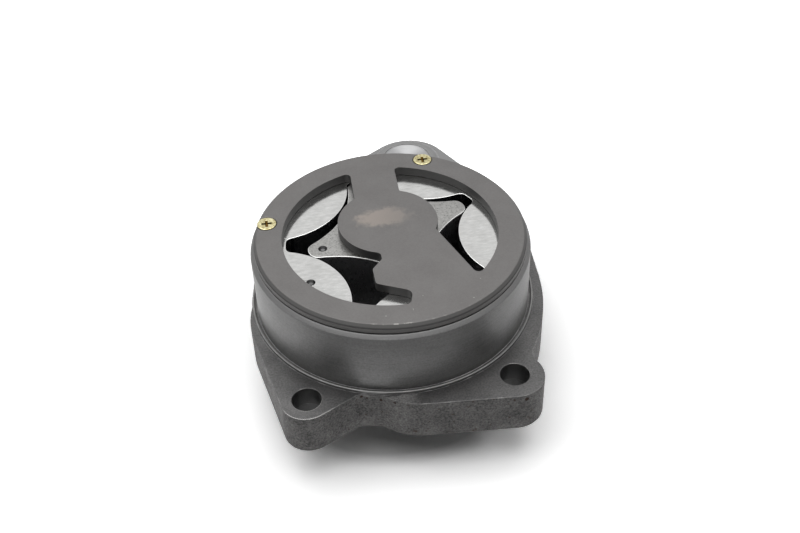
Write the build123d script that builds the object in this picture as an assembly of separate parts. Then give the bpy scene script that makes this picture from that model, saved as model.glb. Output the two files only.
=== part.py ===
from build123d import *
import math
import os

# Gerotor oil pump of an engine. Millimetres, +Z up.
# The origin lies on the pilot's axis, level with the machined face of the flange:
# the pilot and the cover plate stand above it, the flange and the gears below.
# The flange's two front ears lie towards -Y, the idler gear towards +Y.

# ---- Rotors: a five-lobed ring turned by a four-lobed rotor ----
OUTER_LOBES = 5
INNER_LOBES = OUTER_LOBES - 1
ECCENTRICITY = 5.56        # ring axis to shaft axis
LOBE_R = 25.1              # round lobes of the ring
RING_TIP_R = 21.9          # the lobes' tips, from the ring's axis
LOBE_GAP = 0.12            # between the two rotors' flanks
ROOT_GAP = 0.3             # between a rotor tip and the pocket it sinks into
ROOT_CORNER_R = 2.0
RING_WALL = 3.8            # ring outside its pockets
ROTOR_H = 20.0
RING_GAP = 0.09            # ring in its bore, on the radius
END_GAP = 0.04             # over and under the rotors
REST_TURN = 17.05          # degrees the inner rotor stands past full mesh
DOT_R = 1.2                # punched assembly mark on each rotor
DOT_DEPTH = 0.5
POINTS_PER_LOBE = 16       # points that set the inner rotor's outline
POINT_EVENNESS = 0.8       # draws those points out of the tight tips
DOT_INSET = 4.7            # inner mark, from the lobe's tip
RING_DOT_INSET = 5.7       # ring mark, from the ring's edge

# ---- Body ----
BODY_WALL = 7.41           # between the ring's bore and the pilot's outside
PILOT_H = 22.5             # flange face to the cover plate
PILOT_CHAMFER = 1.1
UNDERCUT_W = 0.9           # relief round the pilot's foot
UNDERCUT_DEPTH = 0.5
BEAD_W = 0.7               # narrow raised land outside the relief
BEAD_H = 1.0
LAND_W = 0.2               # least flange left outside the bead
FLANGE_T = 14.7
FLANGE_ROUND = 0.8         # cast lower edge of the flange
PORT_DEPTH = 5.0           # blind ports under the rotors
BOSS_DROP = 1.5            # thrust bosses under the flange
SHAFT_BOSS_R = 15.0
IDLER_BOSS_R = 12.5        # round boss that holds the idler shaft
IDLER_BOSS_H = 6.7         # above the flange face
IDLER_BOSS_ROUND = 3.0

# ---- Bolt ears of the flange ----
BOLT_OUTSET = 9.25         # bolt circle outside the pilot
BOLT_SPREAD = 53.73        # degrees of the mirrored holes from the X axis
REAR_RIGHT_ANGLE = 41.6    # the fourth hole turns away from the idler gear
BOLT_HOLE_R = 4.5
BOLT_LAND = 7.0            # length of the hole at its full size
BOLT_RELIEF_R = 5.2        # cored wider below that
FRONT_LEFT_EAR_R = 8.0
FRONT_RIGHT_EAR_R = 9.25
REAR_EAR_R = 10.0
NOTCH_R = 5.0              # hollow corners between the ears
LEFT_ROOT_R = 31.57        # disc that widens the front left ear towards the body
LEFT_ROOT_AHEAD = 39.26
LEFT_ROOT_ANGLE = 65.8
PAD_R = 18.0               # cast pad between the front ears
PAD_ANGLE = -83.1
PAD_OUTSET = 6.7
FLANK_R = 68.6             # long arc of the flange's right side
FLANK_ANGLE = -4.1
FLANK_OUTSET = 4.87
NOSE_R = 14.6              # rounded end of the flange past the idler
NOSE_AHEAD = 6.0           # its centre, past the idler's axis

# ---- Cover plate ----
PLATE_T = 3.2
PLATE_INSET = 1.3          # plate edge inside the pilot's
PLATE_CHAMFER_W = 1.0
PLATE_CHAMFER_H = 1.1
PLATE_FOOT = 0.4
WINDOW_RIM = 1.0           # windows reach past the ring's pockets
HUB_R = 16.0               # plate disc over the shaft
BRIDGE_LEFT = -9.3         # rear bridge between the windows
BRIDGE_RIGHT = 5.8
WINDOW_ROUND = 1.6
STEP_ROUND = 0.8
# The front bridge: its left edge steps round the large window's foot, its right
# edge is straight. It starts inside the hub and ends outside the windows.
FRONT_BRIDGE = [(-4.2, -5.0), (-4.2, -12.8), (-7.6, -17.0), (-7.4, -23.7),
                (3.2, -28.7), (0.8, -37.0), (28.4, -37.0), (12.0, 5.5)]

# ---- Cover screws, countersunk ----
SCREW_ANGLES = (164.6, 66.4)
SCREW_LAND = 2.8           # screw axis outside the ring's bore
SCREW_HEAD_R = 3.05
SCREW_RIM = 0.4            # straight rim over the head's cone
SCREW_SEAT_GAP = 0.03
SCREW_HOLE_GAP = 0.25
SCREW_SHANK_R = 1.5
SCREW_LENGTH = 11.0
SCREW_HEAD_DROP = 0.05
SCREW_END_GAP = 0.6
CROSS_L = 3.8
CROSS_W = 0.9
CROSS_DEPTH = 1.1

# ---- Shaft, its bushes and the gear on it ----
SHAFT_R = 8.0
SHAFT_GAP = 0.03           # running clearance in the bushes
BUSH_WALL = 1.5
BUSH_L = 7.0
WASHER_T = 1.2
WASHER_RUN = 0.1           # thrust washer to gear
WASHER_BORE_GAP = 0.3
PIN_R = 1.5                # drives the inner rotor
PIN_L = 24.0
PIN_SLOT_GAP = 0.5         # past each end of the pin
PIN_UP = 2.0               # pin axis above the rotor's lower face
KEY_W = 4.0
KEY_DEPTH = 2.0
KEY_END = 1.2
RING_T = 1.2               # retaining rings
RING_DEPTH = 0.8
RING_RIM = 2.2
RING_MOUTH = 60.0          # degrees left open
SHAFT_END = 1.3            # shaft past its retaining ring
TOP_END = 0.3              # shaft below the rotor's top face
CENTRE_R = 1.6             # lathe centre in the shaft's lower end
END_CHAMFER = 0.6

# ---- Gears ----
MODULE = 2.0
PRESSURE = 20.0
DRIVE_TEETH = 36
IDLER_TEETH = 25
BACKLASH = 0.16            # on the pitch circle
ADDENDUM = 1.0             # in modules
DEDENDUM = 1.25
GEAR_W = 13.0
GEAR_EDGE = 0.4            # chamfer round the tooth ends
IDLER_ANGLE = 76.6         # direction of the idler from the shaft
RIM_WALL = 3.5             # drive gear rim under the teeth
WEB_DEPTH = 4.0
HUB_WALL = 6.5
HUB_DROP = 3.8             # hubs below the rims' lower faces
IDLER_SHAFT_R = 8.5
IDLER_BUSH_WALL = 2.0
IDLER_HOLLOW_R = 14.5      # hollow in the idler gear for its washer
IDLER_TOP_DROP = 0.3

# ---- Oil drilling from the flange's nose to the shaft ----
DRILL_R = 2.0
PLUG_R = 4.0
PLUG_L = 4.0
PLUG_WALL = 1.0
PLUG_DROP = 0.5

# ---- Places that follow ----
LOBE_STEP = 360 / OUTER_LOBES
LOBE_CENTRE_R = RING_TIP_R + LOBE_R
RING_TURN = REST_TURN * INNER_LOBES / OUTER_LOBES
TIP_R = RING_TIP_R + ECCENTRICITY - LOBE_GAP
ROOT_R = TIP_R + ECCENTRICITY + ROOT_GAP
RING_R = ROOT_R + RING_WALL
BORE_R = RING_R + RING_GAP
PILOT_R = BORE_R + BODY_WALL
PLATE_R = PILOT_R - PLATE_INSET
WINDOW_R = ROOT_R + WINDOW_RIM
SHAFT_XY = (0.0, ECCENTRICITY)
ROTOR_TOP = PILOT_H - END_GAP
ROTOR_FOOT = ROTOR_TOP - ROTOR_H
BORE_FLOOR = ROTOR_FOOT - END_GAP
PLATE_TOP = PILOT_H + PLATE_T
BEAD_R = PILOT_R + UNDERCUT_W + BEAD_W
CORE_R = BEAD_R + LAND_W
GEAR_SPACING = MODULE * (DRIVE_TEETH + IDLER_TEETH) / 2
AIM = (math.cos(math.radians(IDLER_ANGLE)), math.sin(math.radians(IDLER_ANGLE)))
IDLER_XY = (SHAFT_XY[0] + GEAR_SPACING * AIM[0], SHAFT_XY[1] + GEAR_SPACING * AIM[1])
NOSE_XY = (IDLER_XY[0] + NOSE_AHEAD * AIM[0], IDLER_XY[1] + NOSE_AHEAD * AIM[1])
NOSE_END = GEAR_SPACING + NOSE_AHEAD + NOSE_R   # flange's end, from the shaft
BOSS_FACE = -FLANGE_T - BOSS_DROP
GEAR_TOP = BOSS_FACE - WASHER_T - WASHER_RUN
GEAR_FOOT = GEAR_TOP - GEAR_W
HUB_FOOT = GEAR_FOOT + HUB_DROP
BUSH_R = SHAFT_R + SHAFT_GAP + BUSH_WALL
IDLER_BUSH_BORE = IDLER_SHAFT_R + SHAFT_GAP
IDLER_BUSH_R = IDLER_BUSH_BORE + IDLER_BUSH_WALL
DRILL_Z = (BORE_FLOOR + BOSS_FACE) / 2
ON_FLOOR = (Align.CENTER, Align.CENTER, Align.MIN)


def tube(outer, inner, low, high, at=(0, 0)):
    """Round tube or washer between two heights."""
    section = Circle(outer) - Circle(inner)
    return Pos(at[0], at[1], low) * extrude(section, high - low)


def rod(radius, low, high, at=(0, 0)):
    """Plain round bar between two heights."""
    return Pos(at[0], at[1], low) * extrude(Circle(radius), high - low)


def groove(radius, depth, low, high, at=(0, 0)):
    """What a square groove takes out of a round bar."""
    return tube(2 * radius, radius - depth, low, high, at)


def polar(radius, angle, about=(0, 0)):
    """Place at a radius and an angle in degrees about another place."""
    turn = math.radians(angle)
    return (about[0] + radius * math.cos(turn), about[1] + radius * math.sin(turn))


BOLT_CIRCLE_R = PILOT_R + BOLT_OUTSET
FRONT_LEFT = polar(BOLT_CIRCLE_R, 180 + BOLT_SPREAD)
FRONT_RIGHT = polar(BOLT_CIRCLE_R, -BOLT_SPREAD)
REAR_LEFT = polar(BOLT_CIRCLE_R, 180 - BOLT_SPREAD)
REAR_RIGHT = polar(BOLT_CIRCLE_R, REAR_RIGHT_ANGLE)
BOLTS = [FRONT_LEFT, FRONT_RIGHT, REAR_LEFT, REAR_RIGHT]
SCREWS = [polar(BORE_R + SCREW_LAND, angle) for angle in SCREW_ANGLES]


def band(*discs):
    """Outline pulled tight round discs given as (place, radius)."""
    rims = [(Pos(*place) * Circle(radius)).edges() for place, radius in discs]
    return make_hull([edge for rim in rims for edge in rim])


def flange_outline():
    """Bolt ears, pads and the idler's nose, run into the round core."""
    core = ((0, 0), CORE_R)
    left_root = (polar(LEFT_ROOT_AHEAD, LEFT_ROOT_ANGLE, FRONT_LEFT), LEFT_ROOT_R)
    pad = (polar(PILOT_R + PAD_OUTSET - PAD_R, PAD_ANGLE), PAD_R)
    flank = (polar(PILOT_R + FLANK_OUTSET - FLANK_R, FLANK_ANGLE), FLANK_R)
    behind_ear = Rectangle(2 * PILOT_R, 4 * PILOT_R, align=(Align.MIN, Align.MIN))
    outline = band(core, (REAR_RIGHT, REAR_EAR_R), (NOSE_XY, NOSE_R), (REAR_LEFT, REAR_EAR_R))
    outline += band((FRONT_LEFT, FRONT_LEFT_EAR_R), left_root)
    outline += band((FRONT_RIGHT, FRONT_RIGHT_EAR_R), pad)
    outline += band((REAR_RIGHT, REAR_EAR_R), flank) & Pos(0, FRONT_RIGHT[1]) * behind_ear
    return offset(offset(outline, NOTCH_R), -NOTCH_R)


def windows():
    """The two openings of the cover plate: a disc less the hub and both bridges."""
    rear_w = BRIDGE_RIGHT - BRIDGE_LEFT
    rear_mid = ((BRIDGE_LEFT + BRIDGE_RIGHT) / 2, SHAFT_XY[1] + WINDOW_R / 2)
    opening = Circle(WINDOW_R) - Pos(*SHAFT_XY) * Circle(HUB_R)
    opening -= Pos(*rear_mid) * Rectangle(rear_w, WINDOW_R)
    opening -= Polygon(*FRONT_BRIDGE, align=None)
    by_hub = [v for v in opening.vertices() if reach(v, SHAFT_XY) < HUB_R + 0.01]
    opening = fillet(by_hub, STEP_ROUND)
    sharp = [v for v in opening.vertices() if reach(v, SHAFT_XY) > HUB_R + 2 * STEP_ROUND]
    return fillet(sharp, WINDOW_ROUND)


def reach(vertex, place):
    """Distance of a vertex from a place, seen from above."""
    return math.hypot(vertex.X - place[0], vertex.Y - place[1])


def lobe_directions():
    """Directions of the ring's lobes in the rest position."""
    return [90 + LOBE_STEP / 2 + RING_TURN + LOBE_STEP * k for k in range(OUTER_LOBES)]


def ring_cavity():
    """Opening of the ring: five pockets between five round lobes."""
    cavity = Circle(ROOT_R)
    for angle in lobe_directions():
        cavity -= Pos(*polar(LOBE_CENTRE_R, angle)) * Circle(LOBE_R)
    return fillet(cavity.vertices(), ROOT_CORNER_R)


def inner_profile():
    """Outline swept clear by the ring's lobes, seen from the turning inner rotor.

    In the rotor's own frame a lobe's centre runs along a closed curve of four waves.
    The outline runs beside that curve, one lobe radius and the flank gap inside it.
    """
    inset = LOBE_R + LOBE_GAP
    points = []
    samples = POINTS_PER_LOBE * INNER_LOBES
    for k in range(samples):
        t = 2 * math.pi * k / samples
        t += POINT_EVENNESS * math.sin(INNER_LOBES * t) / INNER_LOBES
        fast = OUTER_LOBES * t
        x = LOBE_CENTRE_R * math.cos(t) + ECCENTRICITY * math.cos(fast)
        y = LOBE_CENTRE_R * math.sin(t) + ECCENTRICITY * math.sin(fast)
        dx = -LOBE_CENTRE_R * math.sin(t) - OUTER_LOBES * ECCENTRICITY * math.sin(fast)
        dy = LOBE_CENTRE_R * math.cos(t) + OUTER_LOBES * ECCENTRICITY * math.cos(fast)
        speed = math.hypot(dx, dy)
        points.append((x - inset * dy / speed, y + inset * dx / speed))
    arcs = [
        ThreePointArc(points[k], points[k + 1], points[(k + 2) % samples])
        for k in range(0, samples, 2)
    ]
    return make_face(arcs)


def outer_rotor():
    """Ring with five pockets, its assembly mark on one lobe."""
    ring = Pos(0, 0, ROTOR_FOOT) * extrude(Circle(RING_R) - ring_cavity(), ROTOR_H)
    mark = polar(RING_R - RING_DOT_INSET, lobe_directions()[1])
    return ring - rod(DOT_R, ROTOR_TOP - DOT_DEPTH, PILOT_H, mark)


def inner_rotor():
    """Four-lobed rotor on the shaft, slotted underneath for its drive pin."""
    turn = Pos(*SHAFT_XY) * Rot(0, 0, REST_TURN)
    rotor = Pos(0, 0, ROTOR_FOOT) * turn * extrude(inner_profile() - Circle(SHAFT_R), ROTOR_H)
    slot_l = PIN_L + 2 * PIN_SLOT_GAP
    slot = Pos(0, 0, ROTOR_FOOT) * turn * Box(slot_l, 2 * PIN_R, PIN_UP + PIN_R, align=ON_FLOOR)
    mark = turn * Pos(-(TIP_R - DOT_INSET), 0)
    return rotor - slot - mark * rod(DOT_R, ROTOR_TOP - DOT_DEPTH, PILOT_H)


def rotor_pin():
    """Cross pin through the shaft that turns the inner rotor."""
    at = Pos(*SHAFT_XY, ROTOR_FOOT + PIN_UP) * Rot(0, 0, REST_TURN) * Rot(0, 90, 0)
    return at * Cylinder(PIN_R, PIN_L)


def drive_shaft():
    """Shaft from the rotors down to the drive gear."""
    low = HUB_FOOT - RING_T - SHAFT_END
    shaft = rod(SHAFT_R, low, ROTOR_TOP - TOP_END, SHAFT_XY)
    shaft = chamfer(shaft.edges().filter_by(GeomType.CIRCLE), END_CHAMFER)
    shaft -= rotor_pin()
    shaft -= drive_key()
    shaft -= groove(SHAFT_R, RING_DEPTH, HUB_FOOT - RING_T, HUB_FOOT, SHAFT_XY)
    centre = Cone(CENTRE_R, 0, CENTRE_R, align=ON_FLOOR)
    return shaft - Pos(*SHAFT_XY, low) * centre


def drive_key():
    """Key between the shaft and the drive gear."""
    length = GEAR_TOP - HUB_FOOT - 2 * KEY_END
    at = Pos(SHAFT_XY[0], SHAFT_XY[1] - SHAFT_R, HUB_FOOT + KEY_END)
    return at * Box(KEY_W, 2 * KEY_DEPTH, length, align=ON_FLOOR)


def retaining_ring(groove_r, high, at):
    """Open spring ring in a shaft groove."""
    ring = tube(groove_r + RING_RIM, groove_r, high - RING_T, high, at)
    size = 2 * (groove_r + RING_RIM)
    half = math.radians(RING_MOUTH / 2)
    mouth = Polygon((0, 0), (size * math.cos(half), size * math.sin(half)),
                    (size * math.cos(half), -size * math.sin(half)), align=None)
    return ring - Pos(at[0], at[1], high - RING_T) * extrude(mouth, RING_T)


def gear_outline(teeth, direction):
    """Involute spur gear outline with a tooth centred on a direction in degrees."""
    pitch_r = MODULE * teeth / 2
    base_r = pitch_r * math.cos(math.radians(PRESSURE))
    tip_r = pitch_r + ADDENDUM * MODULE
    root_r = pitch_r - DEDENDUM * MODULE
    pitch_half = (math.pi * MODULE - BACKLASH) / 4 / pitch_r
    start = max(base_r, root_r)
    middle = (start + tip_r) / 2
    pitch = 2 * math.pi / teeth

    def half_angle(radius):
        return pitch_half + roll(math.radians(PRESSURE)) - roll(math.acos(base_r / radius))

    edges = []
    for tooth in range(teeth):
        mid = math.radians(direction) + tooth * pitch
        rise = [spot(radius, mid - half_angle(radius)) for radius in (start, middle, tip_r)]
        fall = [spot(radius, mid + half_angle(radius)) for radius in (tip_r, middle, start)]
        rise_foot = spot(root_r, mid - half_angle(start))
        fall_foot = spot(root_r, mid + half_angle(start))
        next_foot = spot(root_r, mid + pitch - half_angle(start))
        if root_r < base_r:
            edges += [Line(rise_foot, rise[0]), Line(fall[-1], fall_foot)]
        edges += [ThreePointArc(*rise), ThreePointArc(rise[-1], spot(tip_r, mid), fall[0])]
        edges += [ThreePointArc(*fall), ThreePointArc(fall_foot, spot(root_r, mid + pitch / 2), next_foot)]
    return make_face(edges)


def roll(angle):
    """Involute function of a pressure angle in radians."""
    return math.tan(angle) - angle


def spot(radius, angle):
    """Place at a radius and an angle in radians."""
    return (radius * math.cos(angle), radius * math.sin(angle))


def gear_blank(teeth, direction, at):
    """Toothed disc with its tooth ends chamfered."""
    outline = gear_outline(teeth, direction)
    disc = Pos(at[0], at[1], GEAR_FOOT) * extrude(outline, GEAR_W)
    tip_r = MODULE * teeth / 2 + ADDENDUM * MODULE
    turned = rod(tip_r + GEAR_EDGE, GEAR_FOOT, GEAR_TOP, at)
    turned = chamfer(turned.edges().filter_by(GeomType.CIRCLE), 2 * GEAR_EDGE)
    return disc & turned


def drive_gear():
    """Gear keyed to the shaft, with a thin web between its rim and its hub."""
    root_r = MODULE * (DRIVE_TEETH / 2 - DEDENDUM)
    gear = gear_blank(DRIVE_TEETH, IDLER_ANGLE, SHAFT_XY)
    gear -= tube(root_r - RIM_WALL, SHAFT_R + HUB_WALL, GEAR_FOOT, GEAR_FOOT + WEB_DEPTH, SHAFT_XY)
    gear -= rod(SHAFT_R + HUB_WALL, GEAR_FOOT, HUB_FOOT, SHAFT_XY)
    gear -= rod(SHAFT_R, HUB_FOOT, GEAR_TOP, SHAFT_XY)
    keyway = Pos(SHAFT_XY[0], SHAFT_XY[1] - SHAFT_R, HUB_FOOT)
    return gear - keyway * Box(KEY_W, 2 * KEY_DEPTH, GEAR_TOP - HUB_FOOT, align=ON_FLOOR)


def idler_gear():
    """Gear that turns on the idler shaft, hollowed for its washer and ring."""
    half_tooth = 180 / IDLER_TEETH
    gear = gear_blank(IDLER_TEETH, IDLER_ANGLE + 180 + half_tooth, IDLER_XY)
    gear -= rod(IDLER_HOLLOW_R, GEAR_FOOT, HUB_FOOT, IDLER_XY)
    return gear - rod(IDLER_BUSH_R, HUB_FOOT, GEAR_TOP, IDLER_XY)


def idler_shaft():
    """Pin pressed into the idler boss, its upper end showing in the boss."""
    ring_top = HUB_FOOT - WASHER_RUN - WASHER_T
    low = ring_top - RING_T - SHAFT_END
    shaft = rod(IDLER_SHAFT_R, low, IDLER_BOSS_H - IDLER_TOP_DROP, IDLER_XY)
    shaft = chamfer(shaft.edges().filter_by(GeomType.CIRCLE), END_CHAMFER)
    shaft -= groove(IDLER_SHAFT_R, RING_DEPTH, ring_top - RING_T, ring_top, IDLER_XY)
    return shaft - groove(IDLER_SHAFT_R, RING_DEPTH, DRILL_Z - DRILL_R, DRILL_Z + DRILL_R, IDLER_XY)


def cover_plate():
    """Flat plate over the rotors with its two windows and the countersinks."""
    plate = rod(PLATE_R, PILOT_H, PLATE_TOP)
    top = plate.edges().group_by(Axis.Z)[-1]
    foot = plate.edges().group_by(Axis.Z)[0]
    plate = chamfer(top, PLATE_CHAMFER_H, PLATE_CHAMFER_W)
    plate = chamfer(plate.edges().group_by(Axis.Z)[0], PLATE_FOOT)
    plate -= Pos(0, 0, PILOT_H) * extrude(windows(), PLATE_T)
    for at in SCREWS:
        plate -= countersink(SCREW_SEAT_GAP, SCREW_RIM + SCREW_HEAD_DROP, at)
        plate -= rod(SCREW_SHANK_R + SCREW_HOLE_GAP, PILOT_H, PLATE_TOP, at)
    return plate


def countersink(gap, top_gap, at):
    """Cone under a screw head, grown by a gap and carried up to the plate's top."""
    cone_h = SCREW_HEAD_R - SCREW_SHANK_R
    foot = PLATE_TOP - SCREW_HEAD_DROP - SCREW_RIM - cone_h
    rise = cone_h + top_gap
    cone = Cone(SCREW_SHANK_R + gap, SCREW_SHANK_R + gap + rise, rise, align=ON_FLOOR)
    return Pos(at[0], at[1], foot) * cone


def cover_screws():
    """The two countersunk screws with cross recesses."""
    arm = Box(CROSS_L, CROSS_W, CROSS_DEPTH, align=ON_FLOOR)
    head_top = PLATE_TOP - SCREW_HEAD_DROP
    screws = []
    for at in SCREWS:
        screw = countersink(0, 0, at) + rod(SCREW_HEAD_R, head_top - SCREW_RIM, head_top, at)
        screw += rod(SCREW_SHANK_R, PLATE_TOP - SCREW_LENGTH, head_top - SCREW_RIM, at)
        recess = Pos(at[0], at[1], head_top - CROSS_DEPTH)
        screws.append(screw - recess * arm - recess * Rot(0, 0, 90) * arm)
    return Compound(children=screws)


def along_drilling(radius, near, far):
    """Round bar on the drilling's line, between two distances from the shaft."""
    line = Pos(SHAFT_XY[0], SHAFT_XY[1], DRILL_Z) * Rot(0, 0, IDLER_ANGLE)
    return line * Pos((near + far) / 2, 0, 0) * Rot(0, 90, 0) * Cylinder(radius, far - near)


def drill_plug():
    """Cup plug pressed into the drilling's mouth, open to the outside."""
    outer_end = NOSE_END - PLUG_DROP
    hollow = along_drilling(PLUG_R - PLUG_WALL, outer_end - PLUG_L + PLUG_WALL, NOSE_END)
    return along_drilling(PLUG_R, outer_end - PLUG_L, outer_end) - hollow


def pump_body():
    """Cast body: pilot with the rotor bore, flange with its ears, idler boss."""
    body = rod(PILOT_R, -FLANGE_T, PILOT_H)
    body = chamfer(body.edges().group_by(Axis.Z)[-1], PILOT_CHAMFER)
    flange = Pos(0, 0, -FLANGE_T) * extrude(flange_outline(), FLANGE_T)
    body += fillet(flange.edges().group_by(Axis.Z)[0], FLANGE_ROUND)
    body += tube(BEAD_R, PILOT_R, 0, BEAD_H)
    boss = rod(IDLER_BOSS_R, 0, IDLER_BOSS_H, IDLER_XY)
    body += fillet(boss.edges().group_by(Axis.Z)[-1], IDLER_BOSS_ROUND)
    body += rod(SHAFT_BOSS_R, BOSS_FACE, -FLANGE_T, SHAFT_XY)
    body += rod(IDLER_BOSS_R, BOSS_FACE, -FLANGE_T, IDLER_XY)
    body -= tube(PILOT_R + UNDERCUT_W, PILOT_R, -UNDERCUT_DEPTH, BEAD_H)
    body -= rod(BORE_R, BORE_FLOOR, PILOT_H)
    body -= Pos(0, 0, BORE_FLOOR - PORT_DEPTH) * extrude(windows(), PORT_DEPTH)
    body -= rod(BUSH_R, BOSS_FACE, BORE_FLOOR, SHAFT_XY)
    body -= rod(IDLER_SHAFT_R, BOSS_FACE, IDLER_BOSS_H, IDLER_XY)
    body -= along_drilling(DRILL_R, 0, NOSE_END)
    body -= along_drilling(PLUG_R, NOSE_END - PLUG_DROP - PLUG_L, NOSE_END + PLUG_L)
    for place in BOLTS:
        body -= rod(BOLT_HOLE_R, -FLANGE_T, 0, place)
        body -= rod(BOLT_RELIEF_R, -FLANGE_T, -BOLT_LAND, place)
    for at in SCREWS:
        body -= rod(SCREW_SHANK_R, PLATE_TOP - SCREW_LENGTH - SCREW_END_GAP, PILOT_H, at)
    return body


def main():
    """Write every sub-part."""
    os.makedirs("parts", exist_ok=True)
    bush_bore = SHAFT_R + SHAFT_GAP
    washer_bore = SHAFT_R + WASHER_BORE_GAP
    idler_bore = IDLER_SHAFT_R + WASHER_BORE_GAP
    lower_washer = HUB_FOOT - WASHER_RUN - WASHER_T
    parts = {
        "pump_body": pump_body(),
        "cover_plate": cover_plate(),
        "cover_screws": cover_screws(),
        "outer_rotor": outer_rotor(),
        "inner_rotor": inner_rotor(),
        "rotor_pin": rotor_pin(),
        "drive_shaft": drive_shaft(),
        "upper_shaft_bush": tube(BUSH_R, bush_bore, BORE_FLOOR - BUSH_L, BORE_FLOOR, SHAFT_XY),
        "lower_shaft_bush": tube(BUSH_R, bush_bore, BOSS_FACE, BOSS_FACE + BUSH_L, SHAFT_XY),
        "drive_thrust_washer": tube(SHAFT_BOSS_R, washer_bore, BOSS_FACE - WASHER_T, BOSS_FACE, SHAFT_XY),
        "drive_gear": drive_gear(),
        "drive_key": drive_key(),
        "drive_retaining_ring": retaining_ring(SHAFT_R - RING_DEPTH, HUB_FOOT, SHAFT_XY),
        "idler_shaft": idler_shaft(),
        "idler_gear": idler_gear(),
        "idler_bush": tube(IDLER_BUSH_R, IDLER_BUSH_BORE, HUB_FOOT, GEAR_TOP, IDLER_XY),
        "idler_thrust_washer": tube(IDLER_BOSS_R, idler_bore, BOSS_FACE - WASHER_T, BOSS_FACE, IDLER_XY),
        "idler_lower_washer": tube(IDLER_BOSS_R, idler_bore, lower_washer, lower_washer + WASHER_T, IDLER_XY),
        "idler_retaining_ring": retaining_ring(IDLER_SHAFT_R - RING_DEPTH, lower_washer, IDLER_XY),
        "drill_plug": drill_plug(),
    }
    for name, shape in parts.items():
        export_step(shape, f"parts/{name}.step")


main()
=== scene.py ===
"""Engine oil pump with a gerotor set under a windowed cover plate, dressed for show."""

import math

import bpy
from mathutils import Matrix, Vector


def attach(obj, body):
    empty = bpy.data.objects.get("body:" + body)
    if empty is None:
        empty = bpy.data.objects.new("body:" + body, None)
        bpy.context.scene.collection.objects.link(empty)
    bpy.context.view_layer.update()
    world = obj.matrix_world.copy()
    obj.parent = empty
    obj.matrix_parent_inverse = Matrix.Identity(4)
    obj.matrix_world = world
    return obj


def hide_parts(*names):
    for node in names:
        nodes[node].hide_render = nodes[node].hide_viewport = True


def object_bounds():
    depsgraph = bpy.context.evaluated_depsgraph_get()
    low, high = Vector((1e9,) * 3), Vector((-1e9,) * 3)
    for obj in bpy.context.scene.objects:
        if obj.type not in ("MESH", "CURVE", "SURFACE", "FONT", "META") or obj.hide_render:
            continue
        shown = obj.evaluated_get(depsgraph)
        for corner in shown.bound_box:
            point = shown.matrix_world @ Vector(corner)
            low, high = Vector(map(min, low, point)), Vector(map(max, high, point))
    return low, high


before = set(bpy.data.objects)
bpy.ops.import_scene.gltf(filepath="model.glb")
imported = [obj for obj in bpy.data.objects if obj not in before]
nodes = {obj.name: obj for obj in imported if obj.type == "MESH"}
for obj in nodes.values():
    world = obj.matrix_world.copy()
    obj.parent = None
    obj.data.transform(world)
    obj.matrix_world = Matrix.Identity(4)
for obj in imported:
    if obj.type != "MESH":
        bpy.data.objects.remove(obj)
cad_low, cad_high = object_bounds()

# Studio floor: a wide sheet of matt white paper that the pump stands on.
# It is white to the camera but for a painted shadow, a darker patch under the pump's front,
# and it keeps the pump's soft shadow. Polished steel sees it through a painted reflection,
# dimmer in front of the pump and brighter behind. It glows away from the pump.

# Each FADE, here and below, is where a change starts and where it ends.
PAPER_HALF = 3.0
PAPER_GREY, PAPER_WHITE, PAPER_ROUGH = 0.65, 1.6, 0.9
# Painted reflection: polished steel sees the paper dimmer in front of the pump and brighter behind
# it.
REFLECTION_FRONT, REFLECTION_BACK = 0.62, 1.45
REFLECTION_FADE = (-0.10, -0.02)
NEAR_GLOW, NEAR_FADE = 0.45, (0.062, 0.15)
FAR_GLOW, FAR_FADE = 0.75, (0.3, 1.2)
# Painted shadow: the white that the camera sees is darkened in an oval under the pump's front.
PAINTED_SHADOW_TONE = 0.50
PAINTED_SHADOW_CENTRE = (-0.001, -0.0275, 0)
PAINTED_SHADOW_SPREAD = (1 / 0.034, 1 / 0.0185, 0)
PAINTED_SHADOW_FADE = (0.85, 1.15)


def add_node(tree, kind, inputs=None, **settings):
    """Shader node with its settings, and each input set or linked."""
    made = tree.nodes.new(kind)
    for key, value in settings.items():
        setattr(made, key, value)
    for key, value in (inputs or {}).items():
        if isinstance(value, bpy.types.NodeSocket):
            tree.links.new(value, made.inputs[key])
        else:
            made.inputs[key].default_value = value
    return made


def span(tree, value, low, high, to_low=0.0, to_high=1.0, curve="LINEAR"):
    """Value carried from one range to another, and held at its ends."""
    limits = {
        "Value": value,
        "From Min": low,
        "From Max": high,
        "To Min": to_low,
        "To Max": to_high,
    }
    return add_node(tree, "ShaderNodeMapRange", limits, interpolation_type=curve).outputs[0]


def maths(tree, operation, first, second=0.0):
    """Result of one operation on two values."""
    return add_node(tree, "ShaderNodeMath", {0: first, 1: second}, operation=operation).outputs[0]


def times(tree, first, *others):
    """Product of values."""
    for other in others:
        first = maths(tree, "MULTIPLY", first, other)
    return first


def between(tree, factor, first, second):
    """Value between two values."""
    made = add_node(tree, "ShaderNodeMix", {0: factor, 2: first, 3: second}, data_type="FLOAT")
    return made.outputs[0]


def stretched(tree, place, scale):
    """Coordinates multiplied along X, Y and Z."""
    return add_node(tree, "ShaderNodeMapping", {"Vector": place, "Scale": scale}).outputs[0]


def mapped(tree, place, centre, scale=(1, 1, 1), turn=0.0):
    """Coordinates about a centre, turned about Z and scaled."""
    moved = {"Vector": place, "Location": [-c for c in centre]}
    moved = add_node(tree, "ShaderNodeMapping", moved).outputs[0]
    turned = {"Vector": moved, "Rotation": (0, 0, -turn), "Scale": scale}
    return add_node(tree, "ShaderNodeMapping", turned).outputs[0]


def length_of(tree, vector):
    """Length of a vector."""
    made = add_node(tree, "ShaderNodeVectorMath", {0: vector}, operation="LENGTH")
    return made.outputs["Value"]


def axes_of(tree, place):
    """X, Y and Z of coordinates."""
    return add_node(tree, "ShaderNodeSeparateXYZ", {"Vector": place}).outputs


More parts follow.
